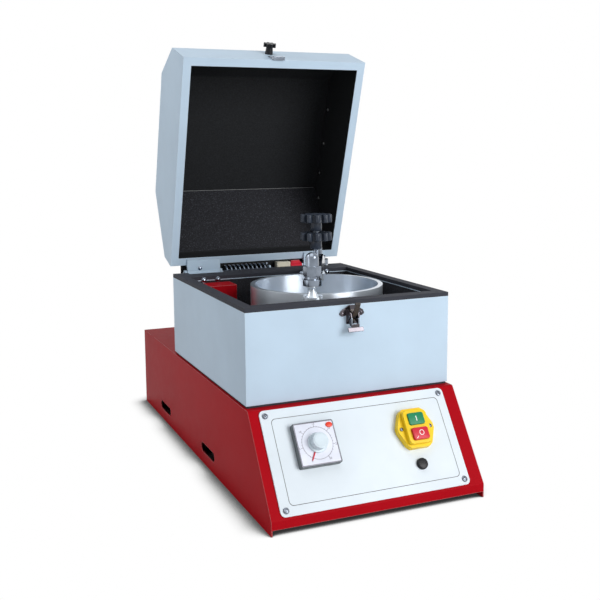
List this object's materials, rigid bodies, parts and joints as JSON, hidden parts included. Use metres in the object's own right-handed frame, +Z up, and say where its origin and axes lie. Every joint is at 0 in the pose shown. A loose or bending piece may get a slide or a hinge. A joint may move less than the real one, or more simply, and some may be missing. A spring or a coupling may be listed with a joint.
{
  "type": "laboratory mill",
  "caption": "Bench laboratory mill: red sloping-front base, grey chamber with open hinged hood, steel orbiting bowl under a screw clamp, timer and start-stop switch.",
  "frame": {"origin": "middle of the base's footprint, on the surface that it stands on", "axes": "+X right as seen from the operator, +Y to the rear, +Z up"},
  "size_m": [0.386, 0.8, 0.7971],
  "materials": {
    "red_enamel": "smooth gloss enamel",
    "grey_enamel": "smooth pale blue-grey enamel",
    "white_panel": "satin white print on sheet",
    "stainless": "fine brushed",
    "bright_metal": "bright plated",
    "cast_metal": "painted casting",
    "black_rubber": "moulded",
    "black_foam": "speckled acoustic foam",
    "black_plastic": "moulded",
    "grey_plastic": "moulded",
    "dial_plastic": "smooth",
    "knob_plastic": "smooth",
    "red_plastic": "smooth",
    "yellow_plastic": "smooth",
    "green_plastic": "smooth",
    "cream_plastic": "moulded",
    "motor_paint": "satin",
    "spring_steel": "drawn wire"
  },
  "bodies": {
    "base": {"base_casing": "red_enamel", "rear_panel": "red_enamel", "bottom_plate": "stainless", "front_plate": "white_panel", "panel_screws": "bright_metal", "timer_body": "grey_plastic", "timer_dial": "dial_plastic", "timer_lamp": "red_plastic", "switch_housing": "yellow_plastic", "fuse_holder": "black_plastic", "power_inlet": "black_plastic", "deck_seal": "black_rubber", "chamber_box": "grey_enamel", "chamber_floor": "stainless", "chamber_lining": "black_foam", "rim_seal": "black_rubber", "corner_duct": "red_enamel", "wall_bolts": "bright_metal", "latch_plate": "bright_metal", "hinge_cover": "black_plastic", "hinge_brackets": "grey_enamel", "hinge_pins": "bright_metal", "hinge_spring": "spring_steel", "interlock_body": "cream_plastic", "motor": "motor_paint", "motor_plate": "stainless", "drive_belt": "black_rubber", "bearing_housing": "cast_metal", "main_bearings": "bright_metal"},
    "hood": {"hood_shell": "grey_enamel", "hood_lining": "black_foam", "hood_screws": "bright_metal", "hood_knob": "black_plastic", "hinge_arms": "grey_enamel", "hinge_bolts": "bright_metal", "latch_keeper": "bright_metal", "interlock_cam": "red_plastic"},
    "latch_lever": {"latch_lever": "bright_metal"},
    "latch_claw": {"latch_claw": "bright_metal"},
    "timer_knob": {"timer_knob": "knob_plastic", "timer_pointer": "red_plastic"},
    "start_button": {"start_button": "green_plastic"},
    "stop_button": {"stop_button": "red_plastic"},
    "fuse_cap": {"fuse_cap": "black_plastic"},
    "rotor": {"rotor": "cast_metal", "main_shaft": "bright_metal", "driven_pulley": "stainless"},
    "motor_shaft": {"motor_pulley": "stainless"},
    "crank_1": {"guide_crank_1": "bright_metal"},
    "crank_2": {"guide_crank_2": "bright_metal"},
    "crank_3": {"guide_crank_3": "bright_metal"},
    "bowl": {"orbit_plate": "stainless", "bowl": "bright_metal", "pivot_nut": "bright_metal"},
    "bridge": {"clamp_bridge": "bright_metal"},
    "clamp_nut": {"clamp_nut": "bright_metal"},
    "press_foot": {"press_foot": "stainless"},
    "spindle": {"clamp_spindle": "bright_metal", "turn_knob": "black_plastic"},
    "lock_knob": {"lock_knob": "black_plastic"}
  },
  "joints": [
    {"name": "hood_hinge", "type": "hinge", "parent": "base", "child": "hood", "pos_m": [0, 0.161, 0.329], "axis": [1, 0, 0], "range_deg": [0, 72], "stiffness_Nm_per_rad": 6, "springref_deg": -17.19},
    {"name": "latch_lever_turn", "type": "hinge", "parent": "base", "child": "latch_lever", "pos_m": [0, -0.297, 0.312], "axis": [1, 0, 0], "range_deg": [-70, 0]},
    {"name": "latch_claw_turn", "type": "hinge", "parent": "latch_lever", "child": "latch_claw", "pos_m": [0, -0.2935, 0.303], "axis": [1, 0, 0], "range_deg": [-0.5, 70.5]},
    {"name": "timer_turn", "type": "hinge", "parent": "base", "child": "timer_knob", "pos_m": [-0.093, -0.35441, 0.12242], "axis": [0, 0.825, -0.5651], "range_deg": [0, 300]},
    {"name": "start_press", "type": "slide", "parent": "base", "child": "start_button", "axis": [0, 0.825, -0.5651], "range_m": [0, 0.002], "stiffness_N_per_m": 600},
    {"name": "stop_press", "type": "slide", "parent": "base", "child": "stop_button", "axis": [0, 0.825, -0.5651], "range_m": [0, 0.0035], "stiffness_N_per_m": 500},
    {"name": "fuse_cap_turn", "type": "hinge", "parent": "base", "child": "fuse_cap", "pos_m": [0.087, -0.37646, 0.06722], "axis": [0, -0.825, 0.5651], "range_deg": [0, 90]},
    {"name": "rotor_spin", "type": "hinge", "parent": "base", "child": "rotor", "pos_m": [0, -0.0925, 0.1], "axis": [0, 0, 1], "continuous": true},
    {"name": "motor_spin", "type": "hinge", "parent": "base", "child": "motor_shaft", "pos_m": [0, 0.265, 0.05], "axis": [0, 0, 1], "continuous": true},
    {"name": "bowl_orbit", "type": "hinge", "parent": "rotor", "child": "bowl", "pos_m": [0.024, -0.0925, 0.22], "axis": [0, 0, 1], "continuous": true},
    {"name": "crank_spin_1", "type": "hinge", "parent": "base", "child": "crank_1", "pos_m": [0, 0.0195, 0.19], "axis": [0, 0, 1], "continuous": true},
    {"name": "crank_spin_2", "type": "hinge", "parent": "base", "child": "crank_2", "pos_m": [-0.09699, -0.1485, 0.19], "axis": [0, 0, 1], "continuous": true},
    {"name": "crank_spin_3", "type": "hinge", "parent": "base", "child": "crank_3", "pos_m": [0.09699, -0.1485, 0.19], "axis": [0, 0, 1], "continuous": true},
    {"name": "bridge_swing", "type": "hinge", "parent": "bowl", "child": "bridge", "pos_m": [0.08726, 0.02902, 0.377], "axis": [0, 0, -1], "range_deg": [-90, 0]},
    {"name": "clamp_nut_turn", "type": "hinge", "parent": "bowl", "child": "clamp_nut", "pos_m": [-0.03926, -0.21402, 0.39], "axis": [0, 0, 1], "range_deg": [0, 90]},
    {"name": "press_travel", "type": "slide", "parent": "bridge", "child": "press_foot", "axis": [0, 0, -1], "range_m": [-0.006, 0.002]},
    {"name": "spindle_turn", "type": "hinge", "parent": "press_foot", "child": "spindle", "pos_m": [0.024, -0.0925, 0.4], "axis": [0, 0, -1], "range_deg": [-542, 182]},
    {"name": "lock_knob_turn", "type": "hinge", "parent": "spindle", "child": "lock_knob", "pos_m": [0.024, -0.0925, 0.42], "axis": [0, 0, -1], "range_deg": [-180, 180]}
  ],
  "couplings": [
    {"joint": "motor_spin", "follows": "rotor_spin", "ratio": 2.5},
    {"joint": "bowl_orbit", "follows": "rotor_spin", "ratio": -1},
    {"joint": "crank_spin_1", "follows": "rotor_spin", "ratio": 1},
    {"joint": "crank_spin_2", "follows": "rotor_spin", "ratio": 1},
    {"joint": "crank_spin_3", "follows": "rotor_spin", "ratio": 1},
    {"joint": "latch_claw_turn", "follows": "latch_lever_turn", "ratio": -1},
    {"joint": "spindle_turn", "follows": "press_travel", "rad_per_m": 1570.8}
  ]
}
